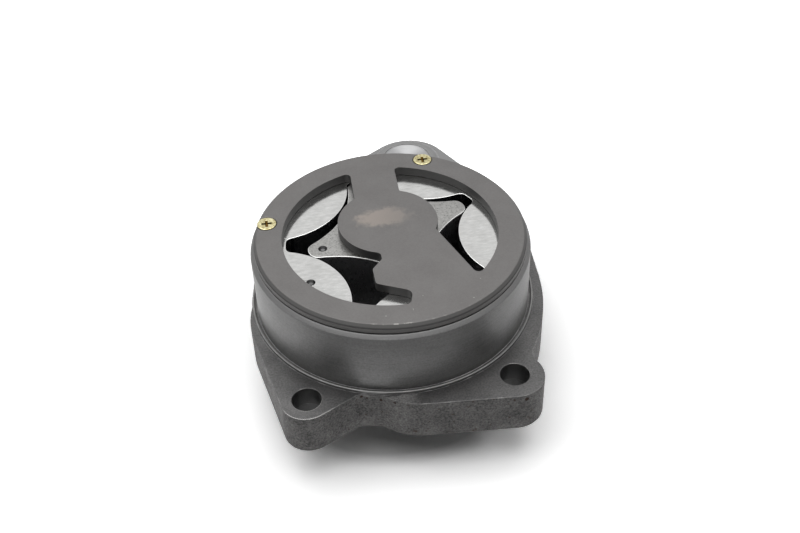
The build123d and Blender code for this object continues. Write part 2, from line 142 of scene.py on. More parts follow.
bpy.ops.object.select_all(action="DESELECT")
bpy.ops.mesh.primitive_grid_add(x_subdivisions=8, y_subdivisions=8, size=2 * PAPER_HALF)
paper_sheet = bpy.context.object
paper_sheet.name = "studio_floor"
paper_sheet.data.transform(Matrix.Translation((0, 0, cad_low.z)))
paper = bpy.data.materials.new("studio_paper")
paper.use_nodes = True
tree = paper.node_tree
shader = tree.nodes["Principled BSDF"]
shader.inputs["Roughness"].default_value = PAPER_ROUGH
shader.inputs["Specular IOR Level"].default_value = 0.0
shader.inputs["Emission Color"].default_value = (1, 1, 1, 1)
ray = add_node(tree, "ShaderNodeLightPath").outputs
place = add_node(tree, "ShaderNodeTexCoord").outputs["Object"]
from_pump = length_of(tree, place)
glow = span(tree, from_pump, *NEAR_FADE, 0.0, NEAR_GLOW, "SMOOTHSTEP")
glow = maths(tree, "ADD", glow, span(tree, from_pump, *FAR_FADE, 0.0, FAR_GLOW))
# Painted shadow: an oval under the pump's front, darker in the white that the camera sees.
under = length_of(tree, mapped(tree, place, PAINTED_SHADOW_CENTRE, PAINTED_SHADOW_SPREAD))
under = span(tree, under, *PAINTED_SHADOW_FADE, PAINTED_SHADOW_TONE * PAPER_WHITE, PAPER_WHITE)
# Painted reflection: to glossy rays the paper is dimmer in front of the pump and brighter behind.
painted_reflection = axes_of(tree, place)["Y"]
painted_reflection = span(tree, painted_reflection, *REFLECTION_FADE, REFLECTION_FRONT, REFLECTION_BACK)
reflection_lift = maths(tree, "SUBTRACT", painted_reflection, PAPER_GREY)
seen = between(tree, ray["Is Camera Ray"], PAPER_GREY, under)
seen = maths(tree, "ADD", seen, times(tree, ray["Is Glossy Ray"], reflection_lift))
tree.links.new(seen, shader.inputs["Base Color"])
glow = times(tree, ray["Is Camera Ray"], glow)
tree.links.new(glow, shader.inputs["Emission Strength"])
paper_sheet.data.materials.append(paper)

# Studio light: a white room, a wide soft lamp above the pump and small ones beside it.
# The room shows white to the camera and in polished steel, and lights the pump weakly.
# Only the lamp above shows in the steel.
ROOM_LIGHT = 0.07
LAMPS = (
    ("lamp_over", (-0.08, 0.03, 0.85), 1.1, 7.8),
    ("lamp_left", (-0.85, -0.10, 0.50), 0.6, 1.15),
    ("lamp_right", (0.85, 0.05, 0.45), 0.5, 0.95),
)
studio_world = bpy.data.worlds.new("studio_world")
bpy.context.scene.world = studio_world
studio_world.use_nodes = True
tree = studio_world.node_tree
ray = add_node(tree, "ShaderNodeLightPath").outputs
shown = maths(tree, "MAXIMUM", ray["Is Camera Ray"], ray["Is Glossy Ray"])
shown = maths(tree, "MAXIMUM", shown, ray["Is Transmission Ray"])
room = tree.nodes["Background"]
room.inputs["Color"].default_value = (1, 1, 1, 1)
tree.links.new(span(tree, shown, 0, 1, ROOM_LIGHT, 1.0), room.inputs["Strength"])
for name, spot, side, watts in LAMPS:
    light = bpy.data.lights.new(name, "AREA")
    light.shape = "RECTANGLE"
    light.size, light.size_y = side, side
    light.energy = watts
    lamp = bpy.data.objects.new(name, light)
    bpy.context.scene.collection.objects.link(lamp)
    lamp.location = spot
    lamp.rotation_mode = "QUATERNION"
    lamp.rotation_quaternion = (-Vector(spot)).to_track_quat("-Z", "Y")
    lamp.visible_glossy = name == "lamp_over"

# Camera: a standard lens above the front of the pump, tilted slightly.
# It stands off the middle of the cover plate's top.
PLATE_TOP = 0.0257
LENS, SENSOR = 51.04, 36
CAMERA_TURN = math.radians(-6.56)
CAMERA_TILT = math.radians(90 - 41.142)
CAMERA_ROLL = math.radians(-2.063)
CAMERA_OFF = (0.003181, -0.011156, 0.358383)
CAMERA_SEES = (0.01, 20)
camera_data = bpy.data.cameras.new("camera")
camera_data.lens, camera_data.sensor_width = LENS, SENSOR
camera_data.clip_start, camera_data.clip_end = CAMERA_SEES
camera = bpy.data.objects.new("camera", camera_data)
bpy.context.scene.collection.objects.link(camera)
camera.matrix_world = (
    Matrix.Translation((0, 0, PLATE_TOP))
    @ Matrix.Rotation(CAMERA_TURN, 4, "Z")
    @ Matrix.Rotation(CAMERA_TILT, 4, "X")
    @ Matrix.Rotation(CAMERA_ROLL, 4, "Z")
    @ Matrix.Translation(CAMERA_OFF)
)
bpy.context.scene.camera = camera
bpy.context.scene.view_settings.view_transform = "Standard"

# Pump body: one sand casting in grey iron, with its pilot, flange face and bores machined.
# The flange's sides keep the skin of the sand, with brown specks and small pits,
# and the corners between machined and cast faces are rubbed bright in places.

# Each GRAIN, here and below, is a noise's lump size, detail and roughness. SOFT, FIRM and
# SHARP are the parts of a noise's range that are stretched to the whole of a change.
FACE_FADE = (-0.0005, -0.0001)
PILOT_EDGE, BORE_EDGE, BEAD_EDGE, BOLT_EDGE = 0.0445, 0.0378, 0.0453, 0.0053
EDGE_FADE = 0.0003
BACK_SHEEN_FADE = (0.047, 0.052)
SOFT, FIRM, SHARP = (0.3, 0.7), (0.35, 0.65), (0.38, 0.62)
SAND_GRAIN, SAND_SHARPNESS, SAND_SHARE = (0.0006, 5.0, 0.65), (0.36, 0.64), 0.7
BLOTCH_GRAIN = (0.007, 3.0, 0.6)
CAST_DARK, CAST_LIGHT = (0.056, 0.055, 0.055), (0.235, 0.231, 0.227)
RUST_GRAIN, RUST_FADE, RUST_MOST = (0.0016, 3.0, 0.6), (0.64, 0.70), 0.8
RUST_BROWN = (0.060, 0.038, 0.029)
PAD_GRAIN, PAD_RAGGED = (0.0020, 4.0, 0.7), 0.0015
PAD_LEFT, PAD_RIGHT, PAD_BACK = (-0.0195, -0.0187), (0.0020, -0.0020), (-0.0461, -0.0464)
FACE_DARK, FACE_LIGHT = (0.074, 0.073, 0.073), (0.134, 0.132, 0.131)
TURNED_SCALE, TURNED_GRAIN, TURNED_SHARE = (60, 60, 2600), (1.0, 3.0, 0.6), 0.25
PILOT_DARK, PILOT_LIGHT = (0.172, 0.171, 0.170), (0.256, 0.255, 0.254)
# Painted shade: the pilot's wall darkens towards its top.
PILOT_TOP_SHADE, PILOT_TOP_SHADE_FADE, PILOT_TOP_SHADE_MOST = (0.075, 0.075, 0.074), (0.008, 0.021), 0.42
# Painted shade on the flange round the pilot's front.
FOOT_SHADE_DARK, FOOT_SHADE_SHARE = (0.030, 0.029, 0.029), 0.5
FOOT_SHADE_FADE, FOOT_SHADE_FRONT = (0.0505, 0.0465), (-0.028, -0.036)
# The boss top is machined; its lighter grey, and that of the faces behind the pilot, is painted
# sheen.
BACK_SHEEN_GREY = (0.235, 0.235, 0.235)
CHAMFER_GREY, CHAMFER_FADE = (0.155, 0.154, 0.153), (0.0216, 0.0218)
CHAMFER_GRAIN, CHAMFER_TORN = (0.0015, 3.0), 0.0003
# Painted highlight on the bead at the pilot's foot.
BEAD_HIGHLIGHT, BEAD_INSIDE = (0.205, 0.203, 0.200), 0.0002
BEAD_FOOT, BEAD_TOP = (0.0003, 0.0004), (0.0012, 0.0011)
BOLT_HOLES = ((-0.0318, -0.04333), (0.0318, -0.04333), (-0.0318, 0.04333), (0.040192, 0.035684))
HOLE_GREY, HOLE_FADE, HOLE_MOUTH = (0.085, 0.085, 0.085), 0.0001, (-0.00003, -0.0001)
PIT_BROWN = (0.035, 0.018, 0.012)
PITS = (  # X, Y, Z and radius
    (0.03364, -0.05239, -0.0017, 0.0009),
    (-0.01535, -0.04402, -0.00093, 0.0006),
    (-0.01374, -0.04422, -0.00167, 0.00045),
    (-0.00964, -0.04535, -0.00206, 0.0006),
    (-0.00572, -0.04811, -0.00108, 0.0005),
)
CORNER_R, CORNER_FADE = 0.0004, (0.995, 0.93)
WORN_BRIGHT = (0.50, 0.49, 0.48)
WORN_GRAIN, WORN_FADE, WORN_RANGE = (0.004, 2.0), (0.50, 0.62), (0.05, 0.4)
WORN_EAR, EAR_FADE, EAR_MOST = (-0.0318, -0.0510, 0), (0.0065, 0.0095), 0.9
IRON_METALLIC, CAST_ROUGH, MACHINED_ROUGH = 0.85, 0.72, 0.42
SAND_DEPTH, TURNING_DEPTH, SKIN_DEPTH = 0.00022, 0.000004, 0.00003
BODY_BREAK, BODY_CORNER = 0.00022, 35
TRENCH_LIFT = 0.0009
TRENCH_R, TRENCH_Z = (0.0444, 0.0456), (-0.0006, -0.0001)
WELD, FLAT_WITHIN = 0.000002, math.radians(0.2)
MANY_CORNERS = 300
NEAR_CORNER, AT_CORNER, CORNER_STEPS = 0.0003, 0.000005, 8
SMOOTH_WITHIN = math.radians(28)


def metal(name, metallic=1.0):
    """Metal, its node tree, its shader and its object coordinates."""
    made = bpy.data.materials.new(name)
    made.use_nodes = True
    tree = made.node_tree
    shader = tree.nodes["Principled BSDF"]
    shader.inputs["Metallic"].default_value = metallic
    return made, tree, shader, add_node(tree, "ShaderNodeTexCoord").outputs["Object"]


def grain(tree, place, size, detail=3.0, rough=0.5):
    """Noise whose lumps are about the given size in metres."""
    looks = {"Vector": place, "Scale": 1 / size, "Detail": detail, "Roughness": rough}
    return add_node(tree, "ShaderNodeTexNoise", looks).outputs["Fac"]


def blend(tree, factor, first, second):
    """Colour between two colours."""
    made = add_node(tree, "ShaderNodeMix", {0: factor}, data_type="RGBA")
    for socket, colour in ((made.inputs[6], first), (made.inputs[7], second)):
        if isinstance(colour, bpy.types.NodeSocket):
            tree.links.new(colour, socket)
        else:
            socket.default_value = (*colour, 1)
    return made.outputs[2]


def paint(tree, shader, socket, value):
    """Links a pattern to one of the shader's sockets."""
    tree.links.new(value, shader.inputs[socket])


def relief(tree, shader, height, depth):
    """Raises the surface by height times depth, in metres."""
    bump = add_node(tree, "ShaderNodeBump", {"Height": height, "Distance": depth})
    tree.links.new(bump.outputs[0], shader.inputs["Normal"])


def radius_of(tree, place):
    """Distance from the Z axis."""
    return length_of(tree, stretched(tree, place, (1, 1, 0)))


def flat_shading(piece):
    """Smooths gentle corners, and keeps flat faces flat to their borders."""
    bpy.ops.object.shade_smooth_by_angle(angle=SMOOTH_WITHIN)
    weighted = piece.modifiers.new("weighted", "WEIGHTED_NORMAL")
    weighted.weight, weighted.keep_sharp = 100, True
    bpy.ops.object.modifier_apply(modifier=weighted.name)


def broken_edges(node, name, body, coat, width=0.0002, corner=30, rounded=()):
    """Piece that stands for a CAD node: its mesh welded, with sharp corners broken narrowly.

    Faces with very many corners are cut into triangles, or the bevel would fold them.
    Each upright corner in rounded (X, Y and setback) is drawn to a point and rounded.
    """
    bpy.ops.object.select_all(action="DESELECT")
    piece = bpy.data.objects.new(name, nodes[node].data.copy())
    bpy.context.scene.collection.objects.link(piece)
    piece.select_set(True)
    bpy.context.view_layer.objects.active = piece
    bpy.ops.object.mode_set(mode="EDIT")
    bpy.ops.mesh.select_all(action="SELECT")
    bpy.ops.mesh.remove_doubles(threshold=WELD)
    bpy.ops.mesh.dissolve_limited(angle_limit=FLAT_WITHIN)
    bpy.ops.mesh.select_mode(type="FACE")
    bpy.ops.mesh.select_all(action="DESELECT")
    bpy.ops.object.mode_set(mode="OBJECT")
    for face in piece.data.polygons:
        face.select = len(face.vertices) > MANY_CORNERS
    bpy.ops.object.mode_set(mode="EDIT")
    bpy.ops.mesh.quads_convert_to_tris(quad_method="BEAUTY", ngon_method="BEAUTY")
    bpy.ops.object.mode_set(mode="OBJECT")
    for x, y, setback in rounded:
        for point in piece.data.vertices:
            if math.hypot(point.co.x - x, point.co.y - y) < setback + NEAR_CORNER:
                point.co.x, point.co.y = x, y
        bpy.ops.object.mode_set(mode="EDIT")
        bpy.ops.mesh.select_mode(type="EDGE")
        bpy.ops.mesh.select_all(action="SELECT")
        bpy.ops.mesh.remove_doubles(threshold=WELD)
        bpy.ops.mesh.select_all(action="DESELECT")
        bpy.ops.object.mode_set(mode="OBJECT")
        for edge in piece.data.edges:
            ends = [piece.data.vertices[end].co for end in edge.vertices]
            edge.select = all(math.hypot(end.x - x, end.y - y) < AT_CORNER for end in ends)
        bpy.ops.object.mode_set(mode="EDIT")
        bpy.ops.mesh.bevel(offset=setback, segments=CORNER_STEPS, affect="EDGES")
        bpy.ops.object.mode_set(mode="OBJECT")
    bevel = piece.modifiers.new("broken_edge", "BEVEL")
    bevel.width, bevel.segments = width, 2
    bevel.limit_method, bevel.angle_limit = "ANGLE", math.radians(corner)
    bevel.use_clamp_overlap = False
    bpy.ops.object.modifier_apply(modifier=bevel.name)
    flat_shading(piece)
    piece.data.materials.clear()
    piece.data.materials.append(coat)
    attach(piece, body)
    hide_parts(node)
    return piece


cast_iron, tree, shader, place = metal("cast_iron", IRON_METALLIC)
axes = axes_of(tree, place)
across, along, height = axes["X"], axes["Y"], axes["Z"]
radius = radius_of(tree, place)
above = span(tree, height, *FACE_FADE)
bored = span(tree, radius, BORE_EDGE + EDGE_FADE, BORE_EDGE)
machined = maths(tree, "MAXIMUM", above, bored)
wall = times(tree, span(tree, radius, PILOT_EDGE + EDGE_FADE, PILOT_EDGE), above)
# Painted sheen: the machined faces behind the pilot, the boss among them, are painted lighter.
boss = times(tree, span(tree, along, *BACK_SHEEN_FADE), above)
sand = grain(tree, place, *SAND_GRAIN)
mottle = between(tree, SAND_SHARE, grain(tree, place, *BLOTCH_GRAIN), sand)
rust = span(tree, grain(tree, place, *RUST_GRAIN), *RUST_FADE, 0.0, RUST_MOST)
sand_colour = blend(tree, span(tree, mottle, *SAND_SHARPNESS), CAST_DARK, CAST_LIGHT)
sand_colour = blend(tree, rust, sand_colour, RUST_BROWN)
# The front pad keeps some cast skin, with a ragged border.
ragged = span(tree, grain(tree, place, *PAD_GRAIN), *SOFT, -PAD_RAGGED, PAD_RAGGED)
ragged = maths(tree, "ADD", across, ragged)
on_pad = times(tree, span(tree, along, *PAD_BACK), span(tree, ragged, *PAD_LEFT))
on_pad = times(tree, on_pad, span(tree, ragged, *PAD_RIGHT))
machined = maths(tree, "SUBTRACT", machined, on_pad)
# Machined faces differ: the flange, the pilot, boss, chamfer and bead. A painted shade darkens the
# flange round the pilot's front.
streaks = grain(tree, stretched(tree, place, TURNED_SCALE), *TURNED_GRAIN)
pilot_grain = between(tree, TURNED_SHARE, mottle, streaks)
pilot_colour = blend(tree, span(tree, pilot_grain, *SHARP), PILOT_DARK, PILOT_LIGHT)
# Painted shade: the pilot's wall is blended darker towards its top.
upper = span(tree, height, *PILOT_TOP_SHADE_FADE, 0.0, PILOT_TOP_SHADE_MOST)
pilot_colour = blend(tree, upper, pilot_colour, PILOT_TOP_SHADE)
foot_shade = times(tree, span(tree, radius, *FOOT_SHADE_FADE), span(tree, along, *FOOT_SHADE_FRONT), FOOT_SHADE_SHARE)
torn = span(tree, grain(tree, place, *CHAMFER_GRAIN), *FIRM, -CHAMFER_TORN, CHAMFER_TORN)
torn = maths(tree, "ADD", height, torn)
on_chamfer = times(tree, wall, span(tree, torn, *CHAMFER_FADE))
# Painted highlight: the bead at the pilot's foot is painted light.
bead_highlight = times(tree, span(tree, height, *BEAD_FOOT), span(tree, height, *BEAD_TOP))
bead_highlight = times(tree, bead_highlight, span(tree, radius, BEAD_EDGE - BEAD_INSIDE, BEAD_EDGE))
bead_highlight = maths(tree, "SUBTRACT", bead_highlight, boss)
smooth_colour = blend(tree, span(tree, mottle, *SHARP), FACE_DARK, FACE_LIGHT)
for part, colour in (
    (foot_shade, FOOT_SHADE_DARK),
    (wall, pilot_colour),
    (boss, BACK_SHEEN_GREY),
    (on_chamfer, CHAMFER_GREY),
    (bead_highlight, BEAD_HIGHLIGHT),
):
    smooth_colour = blend(tree, part, smooth_colour, colour)
for x, y in BOLT_HOLES:
    from_bolt = radius_of(tree, mapped(tree, place, (x, y, 0)))
    in_hole = span(tree, from_bolt, BOLT_EDGE + HOLE_FADE, BOLT_EDGE)
    in_hole = times(tree, in_hole, span(tree, height, *HOLE_MOUTH))
    smooth_colour = blend(tree, in_hole, smooth_colour, HOLE_GREY)
    machined = maths(tree, "MAXIMUM", machined, in_hole)
body_colour = blend(tree, machined, sand_colour, smooth_colour)
for *at, size in PITS:
    pit = span(tree, length_of(tree, mapped(tree, place, at)), size / 2, size, 1.0, 0.0)
    body_colour = blend(tree, pit, body_colour, PIT_BROWN)
# Corners are rubbed bright in patches, and all along one ear.
rounded = add_node(tree, "ShaderNodeBevel", {"Radius": CORNER_R}, samples=4).outputs[0]
flat = add_node(tree, "ShaderNodeNewGeometry").outputs["Normal"]
corner = add_node(tree, "ShaderNodeVectorMath", {0: rounded, 1: flat}, operation="DOT_PRODUCT")
corner = span(tree, corner.outputs["Value"], *CORNER_FADE)
worn = times(tree, corner, span(tree, grain(tree, place, *WORN_GRAIN), *WORN_FADE, *WORN_RANGE))
from_ear = length_of(tree, mapped(tree, place, WORN_EAR))
ear_edge = times(tree, corner, span(tree, from_ear, *EAR_FADE, EAR_MOST, 0.0))
worn = maths(tree, "MAXIMUM", worn, ear_edge)
paint(tree, shader, "Base Color", blend(tree, worn, body_colour, WORN_BRIGHT))
paint(tree, shader, "Roughness", between(tree, machined, CAST_ROUGH, MACHINED_ROUGH))
turned_skin = times(tree, streaks, TURNING_DEPTH)
turned_skin = maths(tree, "ADD", turned_skin, times(tree, sand, SKIN_DEPTH))
skin = between(tree, machined, times(tree, sand, SAND_DEPTH), turned_skin)
relief(tree, shader, skin, 1.0)
casting = broken_edges(
    "pump_body", "body_casting", "housing", cast_iron, BODY_BREAK, BODY_CORNER
)
# The floor of the narrow relief round the pilot's foot stands higher here than in the CAD.
for point in casting.data.vertices:
    in_trench = TRENCH_R[0] < point.co.xy.length < TRENCH_R[1]
    if in_trench and TRENCH_Z[0] < point.co.z < TRENCH_Z[1]:
        point.co.z += TRENCH_LIFT

# Drill plug: a short steel cup, drawn from strip and pressed into the end of the oil drilling.
# Its hollow faces out, and it is black from hardening.
BLACK_GRAIN = (0.001, 4.0, 0.6)
BLACK_DARK, BLACK_LIGHT = (0.045, 0.045, 0.05), (0.10, 0.10, 0.11)
BLACK_ROUGH = (0.32, 0.5)
black_steel, tree, shader, place = metal("black_steel")
scale_marks = grain(tree, place, *BLACK_GRAIN)
paint(tree, shader, "Base Color", blend(tree, scale_marks, BLACK_DARK, BLACK_LIGHT))
paint(tree, shader, "Roughness", span(tree, scale_marks, *SOFT, *BLACK_ROUGH))
broken_edges("drill_plug", "drilling_plug", "housing", black_steel)

# Shaft bushes: two bronze sleeves pressed into the body's shaft bore.
# They are turned, and dull outside their bores.
BRONZE_GRAIN = (0.002, 4.0, 0.6)
BRONZE_DARK, BRONZE_LIGHT = (0.46, 0.28, 0.12), (0.66, 0.46, 0.24)
BRONZE_ROUGH, BRONZE_BUMPS, BRONZE_DEPTH = (0.30, 0.46), 0.0003, 0.00001
bronze, tree, shader, place = metal("bronze")
mottle = grain(tree, place, *BRONZE_GRAIN)
paint(tree, shader, "Base Color", blend(tree, mottle, BRONZE_DARK, BRONZE_LIGHT))
paint(tree, shader, "Roughness", span(tree, mottle, *SOFT, *BRONZE_ROUGH))
relief(tree, shader, grain(tree, place, BRONZE_BUMPS), BRONZE_DEPTH)
for node in ("upper_shaft_bush", "lower_shaft_bush"):
    name = node.replace("shaft_bush", "bush_sleeve")
    broken_edges(node, name, "housing", bronze)

# Drive shaft: a hardened steel bar that carries the inner rotor and the drive gear.
# It is slotted for its key, pin and ring, and fine grinding lines run round it.
GROUND_SCALE, GROUND_GRAIN, GROUND_DEPTH = (120, 120, 5000), (1.0, 2.0), 0.000004
GROUND_DARK, GROUND_LIGHT = (0.42, 0.42, 0.42), (0.62, 0.62, 0.61)
GROUND_ROUGH, SHAFT_BREAK = (0.24, 0.36), 0.0003
ground_steel, tree, shader, place = metal("ground_steel")
rings = grain(tree, stretched(tree, place, GROUND_SCALE), *GROUND_GRAIN)
paint(tree, shader, "Base Color", blend(tree, rings, GROUND_DARK, GROUND_LIGHT))
paint(tree, shader, "Roughness", span(tree, rings, *SOFT, *GROUND_ROUGH))
relief(tree, shader, rings, GROUND_DEPTH)
broken_edges(
    "drive_shaft", "driving_shaft", "drive_line", ground_steel, SHAFT_BREAK
)

# Outer rotor: a ring of sintered steel with five round lobes, loose in the body's bore.
# Its end is lapped bright and flat, with a thin broken corner painted brighter as a highlight, and
# its sides painted darker as shade.
ROTOR_FACE = 0.02246
ROTOR_EDGE = (ROTOR_FACE - 0.00001, ROTOR_FACE - 0.00004)
ROTOR_SIDE = (ROTOR_FACE - 0.0002, ROTOR_FACE - 0.0004)
# Painted highlight on the broken corner, painted shade on the sides.
EDGE_HIGHLIGHT, SIDE_SHADE = (0.76, 0.76, 0.75), (0.40, 0.40, 0.41)
LAP_SCALE, LAP_GRAIN = (350, 900, 350), (1.0, 5.0, 0.65)
LAP_DARK, LAP_LIGHT = (0.52, 0.52, 0.51), (0.66, 0.66, 0.65)
LAP_CLOUD, LAP_CLOUD_GREY = (0.005, 3.0, 0.6), (0.44, 0.44, 0.43)
LAP_CLOUD_FADE, LAP_CLOUD_MOST = (0.45, 0.75), 0.35
LAP_ROUGH, LAP_BUMPS, LAP_DEPTH = (0.12, 0.19), 0.0004, 0.000006
RING_MARK = (-0.02665, -0.01642, 0)
MARK_EDGE, MARK_BORDER, MARK_MIDDLE = 0.00150, 0.0001, (0.0005, 0.0008)
# The punched mark is painted dark round its wall, as shade, and grey in its middle.
MARK_WALL_SHADE, MARK_GREY = (0.030, 0.030, 0.030), (0.17, 0.17, 0.17)
ROTOR_BREAK = 0.00025


def rotor_colour(tree, place, face_colour, mark):
    """Colour of a rotor: its face, a painted highlight on its broken corner, painted shade on its
    sides, and one punched mark painted dark round its wall as shade.
    """
    level = axes_of(tree, place)["Z"]
    colour = blend(tree, span(tree, level, *ROTOR_EDGE), face_colour, EDGE_HIGHLIGHT)
    colour = blend(tree, span(tree, level, *ROTOR_SIDE), colour, SIDE_SHADE)
    away = radius_of(tree, mapped(tree, place, mark))
    inside = blend(tree, span(tree, away, *MARK_MIDDLE), MARK_GREY, MARK_WALL_SHADE)
    return blend(tree, span(tree, away, MARK_EDGE, MARK_EDGE - MARK_BORDER), colour, inside)


lapped_steel, tree, shader, place = metal("lapped_steel")
lap = grain(tree, stretched(tree, place, LAP_SCALE), *LAP_GRAIN)
clouds = span(tree, grain(tree, place, *LAP_CLOUD), *LAP_CLOUD_FADE, 0.0, LAP_CLOUD_MOST)
lap_colour = blend(tree, span(tree, lap, *SOFT), LAP_DARK, LAP_LIGHT)
lap_colour = blend(tree, clouds, lap_colour, LAP_CLOUD_GREY)
paint(tree, shader, "Base Color", rotor_colour(tree, place, lap_colour, RING_MARK))
paint(tree, shader, "Roughness", span(tree, lap, *SOFT, *LAP_ROUGH))
relief(tree, shader, grain(tree, place, LAP_BUMPS), LAP_DEPTH)
broken_edges(
    "outer_rotor", "ring_rotor", "rotor_ring", lapped_steel, ROTOR_BREAK
)

# Inner rotor: a four-lobed star of sintered steel, pinned to the shaft.
# It is ground duller than the ring, with the pores of the powder showing.
PORE_GRAIN, PORE_ROUGH, PORE_DEPTH = (0.0006, 4.0, 0.7), (0.24, 0.40), 0.00001
STAR_DARK, STAR_LIGHT = (0.24, 0.24, 0.232), (0.37, 0.365, 0.355)
STAR_CLOUD, STAR_CLOUD_GREY = (0.004, 3.0, 0.6), (0.24, 0.237, 0.23)
STAR_CLOUD_FADE, STAR_CLOUD_MOST = (0.45, 0.7), 0.3
STAR_MARK = (-0.021645, -0.001078, 0)
sintered_steel, tree, shader, place = metal("sintered_steel")
pores = grain(tree, place, *PORE_GRAIN)
clouds = span(tree, grain(tree, place, *STAR_CLOUD), *STAR_CLOUD_FADE, 0.0, STAR_CLOUD_MOST)
star_colour = blend(tree, span(tree, pores, *FIRM), STAR_DARK, STAR_LIGHT)
star_colour = blend(tree, clouds, star_colour, STAR_CLOUD_GREY)
# Painted highlight and shade on its corner, sides and mark, as on the ring rotor.
paint(tree, shader, "Base Color", rotor_colour(tree, place, star_colour, STAR_MARK))
paint(tree, shader, "Roughness", span(tree, pores, *SOFT, *PORE_ROUGH))
relief(tree, shader, pores, PORE_DEPTH)
broken_edges(
    "inner_rotor", "star_rotor", "drive_line", sintered_steel, ROTOR_BREAK
)

# Rotor pin: a hardened steel roller across the shaft, which drives the inner rotor.
# It is ground like the shaft, and held in by the rotor's slot.
broken_edges("rotor_pin", "driving_pin", "drive_line", ground_steel)

# Cover plate: a disc of phosphated steel, punched with two windows and ground flat.
# A ragged pale patch on its hub is rubbed through to the steel, and small nicks
# show bright near its edge.
PLATE_DARK, PLATE_LIGHT = (0.132, 0.127, 0.124), (0.158, 0.153, 0.150)
PLATE_METALLIC, PLATE_ROUGH, PATCH_ROUGH = 0.55, 0.52, 0.40
FINE_GRAIN, CLOUD_GRAIN, CLOUD_SHARE = (0.0005, 4.0, 0.6), (0.012, 4.0, 0.6), 0.5
FINE_DEPTH, PLATE_BREAK = 0.00001, 0.00015
TOP_FADE = (PLATE_TOP - 0.0002, PLATE_TOP - 0.0001)
PATCH_CENTRE, PATCH_TURN = (-0.0011, 0.0074, 0), math.radians(-6.56)
PATCH_SPREAD, PATCH_FADE = (1 / 0.0096, 1 / 0.0050, 0), (1.12, 0.55)
PATCH_GRAIN, PATCH_TORN = (0.0028, 5.0, 0.65), 0.24
PATCH_PALE = (0.285, 0.252, 0.226)
PATCH_ACROSS, PATCH_LEFT, PATCH_RIGHT = (-0.6, 0.9), 0.95, 0.42
NICK_SIZE, NICK_TORN, NICK_TURN = 0.00032, 0.0002, math.radians(15)
NICK_BRIGHT = (0.60, 0.59, 0.57)
NICKS = (  # X, Y, slimness and strength
    (0.0239, -0.0267, 1.0, 0.5),
    (0.0204, -0.0347, 0.8, 0.5),
    (0.0057, -0.0314, 1.0, 0.35),
    (0.0020, -0.0367, 2.6, 0.6),
    (-0.0062, -0.0383, 1.0, 0.5),
    (0.0111, -0.0369, 0.16, 0.12),
    (0.0165, -0.0363, 0.2, 0.16),
)
# Painted shade: the windows' walls and the rim's chamfer are darker than the top.
WINDOW_WALL_SHADE, RIM_FADE = (0.065, 0.064, 0.063), (0.0405, 0.041)
RIM_CHAMFER_SHADE, RIM_SIDE = (0.088, 0.086, 0.084), (0.150, 0.147, 0.144)
RIM_LEVEL, RIM_SOFT = PLATE_TOP - 0.0011, 0.0001
RIM_LINE, RIM_LINE_FADE, RIM_LINE_MOST = (0.028, 0.027, 0.027), (0.00032, 0.00012), 0.75
FLECK_GRAIN, FLECK_FADE = (0.0016, 2.0), (0.5, 0.62)
FLECK_INSIDE, FLECK_OUTSIDE = (0.04195, 0.0421), (0.0424, 0.0423)
FLECK_LEFT, FLECK_RIGHT, FLECK_FRONT = (-0.012, -0.008), (0.012, 0.001), (-0.02, -0.03)
FLECK_BRIGHT, FLECK_SHARE, FLECK_LEAST = (0.45, 0.44, 0.42), 0.6, 0.2
ROUNDED = (  # X, Y and setback of two corners of the large window
    (-0.0042, -0.00988, 0.0013),
    (0.0032, -0.0287, 0.0021),
)
phosphated_steel, tree, shader, place = metal("phosphated_steel", PLATE_METALLIC)
axes = axes_of(tree, place)
across, along, level = axes["X"], axes["Y"], axes["Z"]
radius = radius_of(tree, place)
on_top = span(tree, level, *TOP_FADE)
fine = grain(tree, place, *FINE_GRAIN)
tone = between(tree, CLOUD_SHARE, fine, grain(tree, place, *CLOUD_GRAIN))
plate_colour = blend(tree, span(tree, tone, *SHARP), PLATE_DARK, PLATE_LIGHT)
patch_place = mapped(tree, place, PATCH_CENTRE, PATCH_SPREAD, PATCH_TURN)
ragged = span(tree, grain(tree, place, *PATCH_GRAIN), *SOFT, -PATCH_TORN, PATCH_TORN)
patch = maths(tree, "ADD", length_of(tree, patch_place), ragged)
patch = span(tree, patch, *PATCH_FADE, 0.0, 1.0, "SMOOTHSTEP")
patch_side = axes_of(tree, patch_place)["X"]
patch = times(tree, patch, span(tree, patch_side, *PATCH_ACROSS, PATCH_LEFT, PATCH_RIGHT))
plate_colour = blend(tree, times(tree, patch, on_top), plate_colour, PATCH_PALE)
torn = span(tree, fine, *SOFT, 0.0, NICK_TORN)
for x, y, slim, strength in NICKS:
    away = mapped(tree, place, (x, y, PLATE_TOP), (slim, 1 / slim, 1), NICK_TURN)
    away = maths(tree, "ADD", length_of(tree, away), torn)
    nick = times(tree, span(tree, away, NICK_SIZE, NICK_SIZE / 2), strength)
    plate_colour = blend(tree, nick, plate_colour, NICK_BRIGHT)
